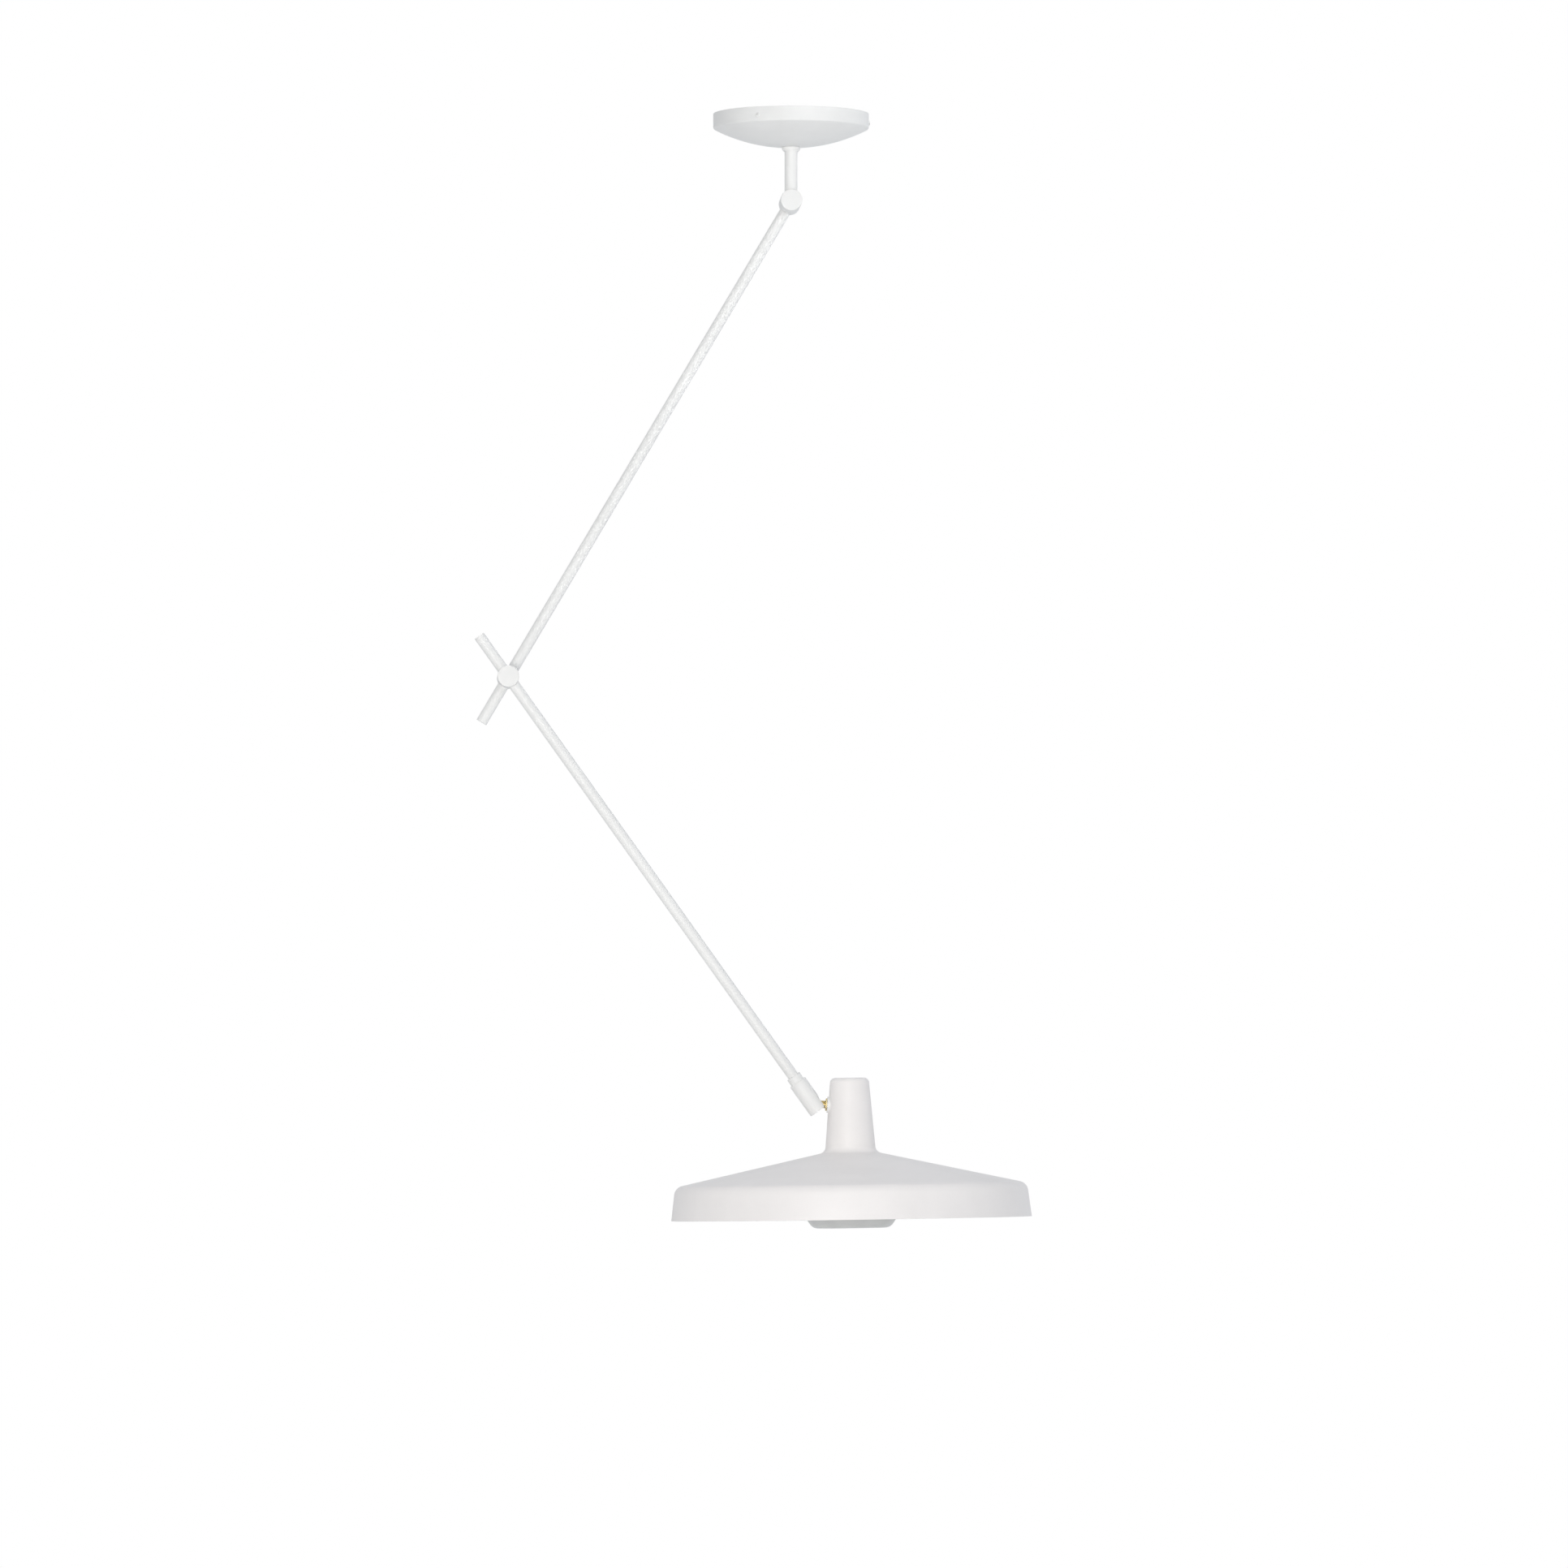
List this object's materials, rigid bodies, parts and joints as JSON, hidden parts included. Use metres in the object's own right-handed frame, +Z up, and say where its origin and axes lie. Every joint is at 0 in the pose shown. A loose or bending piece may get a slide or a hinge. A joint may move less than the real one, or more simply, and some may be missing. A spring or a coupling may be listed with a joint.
{
  "type": "articulated ceiling lamp",
  "caption": "White ceiling lamp: a round canopy and short stem carry two hinged straight arms; a wide shallow spun shade with an opal diffuser hangs from a brass ball swivel.",
  "frame": {"origin": "where the stem's axis meets the ceiling, at the centre of the bracket's bolt circle", "axes": "+Z up, into the ceiling; the arms fold in the XZ plane and the lower arm leads towards +X; -Y is the front"},
  "size_m": [0.696, 0.4498, 1.395],
  "materials": {
    "powder_coated_steel": "matte",
    "powder_coated_aluminium": "matte",
    "zinc_plated_steel": "satin",
    "spring_steel": "satin",
    "brass": "polished",
    "opal_acrylic": "satin",
    "opal_glass": "satin",
    "phenolic_plastic": "matte",
    "insulating_plastic": "satin",
    "friction_polymer": "matte",
    "nickel_plated_brass": "polished"
  },
  "bodies": {
    "root": {"ceiling_bracket": "zinc_plated_steel", "canopy_cover": "powder_coated_steel", "canopy_side_screws": "powder_coated_steel", "canopy_nipple": "zinc_plated_steel", "nipple_lock_nuts": "zinc_plated_steel", "terminal_block": "insulating_plastic", "earth_screw": "brass", "stem_collar": "powder_coated_steel", "upper_stem": "powder_coated_steel", "swivel_stop_pin": "zinc_plated_steel", "swivel_washer": "friction_polymer", "swivel_nut": "zinc_plated_steel"},
    "stem": {"lower_stem": "powder_coated_steel", "shoulder_front_drum": "powder_coated_steel", "shoulder_front_cap": "powder_coated_steel", "shoulder_pivot_bolt": "zinc_plated_steel", "shoulder_friction_disc": "friction_polymer", "shoulder_spring_washer": "spring_steel", "shoulder_pivot_nut": "zinc_plated_steel"},
    "upper_arm": {"shoulder_rear_drum": "powder_coated_steel", "shoulder_rear_cap": "powder_coated_steel", "shoulder_stop_pin": "zinc_plated_steel", "upper_arm_tube": "powder_coated_steel", "upper_arm_plug": "powder_coated_steel", "elbow_rear_drum": "powder_coated_steel", "elbow_rear_cap": "powder_coated_steel", "elbow_rear_grub_screw": "zinc_plated_steel", "elbow_stop_pin": "zinc_plated_steel"},
    "lower_arm": {"elbow_front_drum": "powder_coated_steel", "elbow_front_cap": "powder_coated_steel", "elbow_pivot_bolt": "zinc_plated_steel", "elbow_friction_disc": "friction_polymer", "elbow_spring_washer": "spring_steel", "elbow_pivot_nut": "zinc_plated_steel", "elbow_front_grub_screw": "zinc_plated_steel", "lower_arm_tube": "powder_coated_steel", "lower_arm_plug": "powder_coated_steel", "arm_end_collar": "zinc_plated_steel"},
    "housing": {"housing_ferrule": "powder_coated_steel", "ball_housing": "powder_coated_steel", "housing_snap_ring": "spring_steel", "ball_disc_springs": "spring_steel", "ball_seat": "friction_polymer"},
    "ball_joint": {"ball_stud": "brass", "stud_nuts": "brass"},
    "shade": {"tower_outer_washer": "powder_coated_steel", "tower_inner_washer": "powder_coated_steel", "shade_shell": "powder_coated_aluminium", "lampholder_bracket": "zinc_plated_steel", "lampholder_nipple": "zinc_plated_steel", "lampholder_nut": "zinc_plated_steel", "lampholder_body": "phenolic_plastic", "lampholder_sleeve": "brass", "lampholder_contact": "brass", "lampholder_rings": "phenolic_plastic", "bulb_cap": "nickel_plated_brass", "bulb_globe": "opal_glass", "diffuser": "opal_acrylic", "diffuser_spider": "zinc_plated_steel", "diffuser_screws": "zinc_plated_steel"}
  },
  "joints": [
    {"name": "stem_turn", "type": "hinge", "parent": "root", "child": "stem", "pos_m": [0, 0, -0.0645], "axis": [0, 0, 1], "range_deg": [-165, 165]},
    {"name": "shoulder_hinge", "type": "hinge", "parent": "stem", "child": "upper_arm", "pos_m": [0, 0.015, -0.109], "axis": [0, 1, 0], "range_deg": [-40, 45]},
    {"name": "elbow_hinge", "type": "hinge", "parent": "upper_arm", "child": "lower_arm", "pos_m": [-0.35348, 0.015, -0.70647], "axis": [0, 1, 0], "range_deg": [-50, 65]},
    {"name": "housing_turn", "type": "hinge", "parent": "lower_arm", "child": "housing", "pos_m": [0.02735, 0, -1.23938], "axis": [0.5814, 0, -0.8136], "range_deg": [-165, 165]},
    {"name": "ball_tilt", "type": "hinge", "parent": "housing", "child": "ball_joint", "pos_m": [0.02735, 0, -1.23938], "axis": [0, 1, 0], "range_deg": [-35, 45]},
    {"name": "shade_roll", "type": "hinge", "parent": "ball_joint", "child": "shade", "pos_m": [0.02735, 0, -1.23938], "axis": [0.9977, 0, -0.0673], "range_deg": [-90, 90]}
  ]
}
